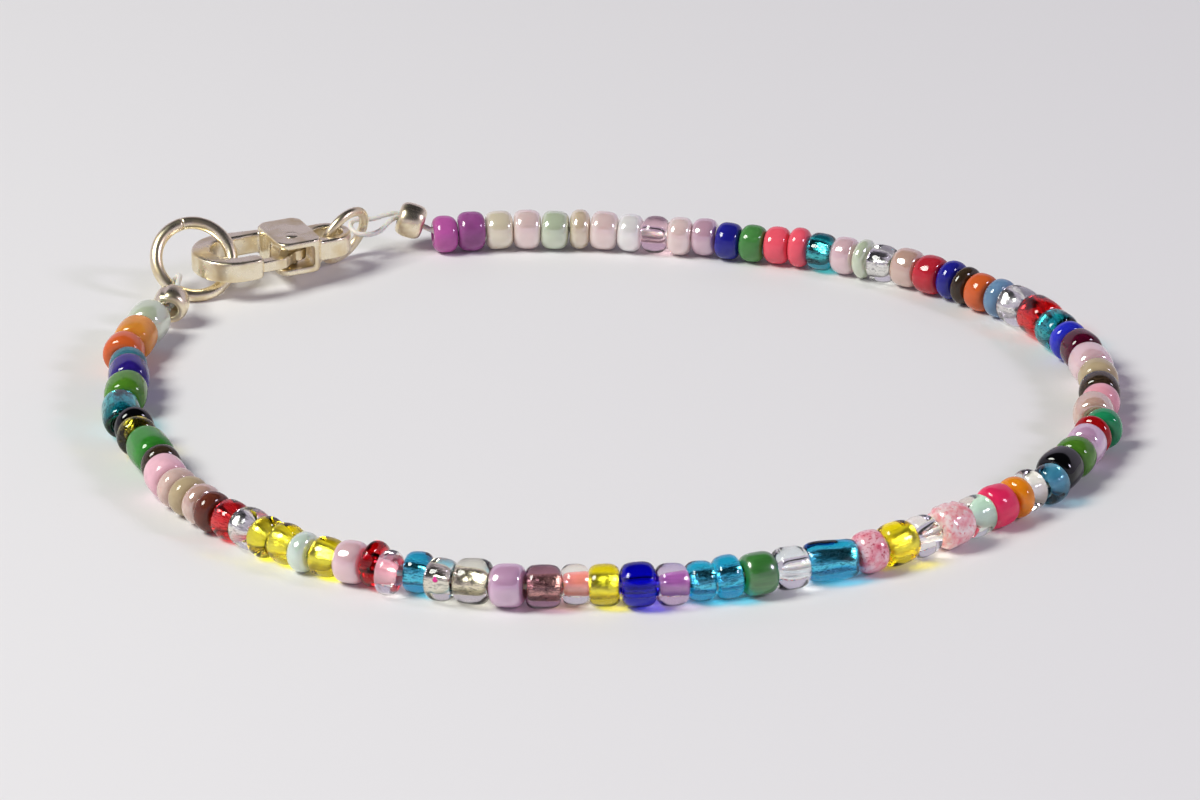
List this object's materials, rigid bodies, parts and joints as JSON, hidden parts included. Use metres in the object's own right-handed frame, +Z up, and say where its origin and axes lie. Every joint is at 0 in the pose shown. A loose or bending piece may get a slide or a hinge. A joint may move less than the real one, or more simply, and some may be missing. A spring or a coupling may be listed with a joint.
{
  "type": "seed bead bracelet",
  "caption": "Closed bracelet of mixed glass seed beads on one thread, with a lobster clasp, a catch ring, a jump ring and crimp covers.",
  "frame": {"origin": "on the surface that the bracelet lies on, under the middle of its bounding box", "axes": "+Z up out of the surface; +X to the right and +Y to the back as seen from the front, with the clasp at the back left"},
  "size_m": [0.0622, 0.0556, 0.0045],
  "materials": {
    "bead_glass": "fire-polished seed bead glass in many colours: silver-lined, colour-lined, transparent, opaque, pearl and satin",
    "clasp_metal": "polished silver-plated brass, slightly warm",
    "bead_thread": "clear nylon beading thread"
  },
  "bodies": {
    "bracelet": {"bead_run_01": "bead_glass", "bead_run_02": "bead_glass", "bead_run_03": "bead_glass", "bead_run_04": "bead_glass", "bead_run_05": "bead_glass", "bead_run_06": "bead_glass", "bead_run_07": "bead_glass", "bead_run_08": "bead_glass", "bead_run_09": "bead_glass", "bead_run_10": "bead_glass", "bead_run_11": "bead_glass", "catch_ring": "clasp_metal", "jump_ring": "clasp_metal", "clasp_body": "clasp_metal", "lever_pin": "clasp_metal", "crimp_catch_side": "clasp_metal", "crimp_clasp_side": "clasp_metal", "thread": "bead_thread"},
    "lever": {"clasp_lever": "clasp_metal"}
  },
  "joints": [
    {"name": "lever_hinge", "type": "hinge", "parent": "bracelet", "child": "lever", "pos_m": [-0.01999, 0.02094, 0.00212], "axis": [0, 0, -1], "range_deg": [0, 25], "stiffness_Nm_per_rad": 0.007, "springref_deg": -20.05}
  ]
}
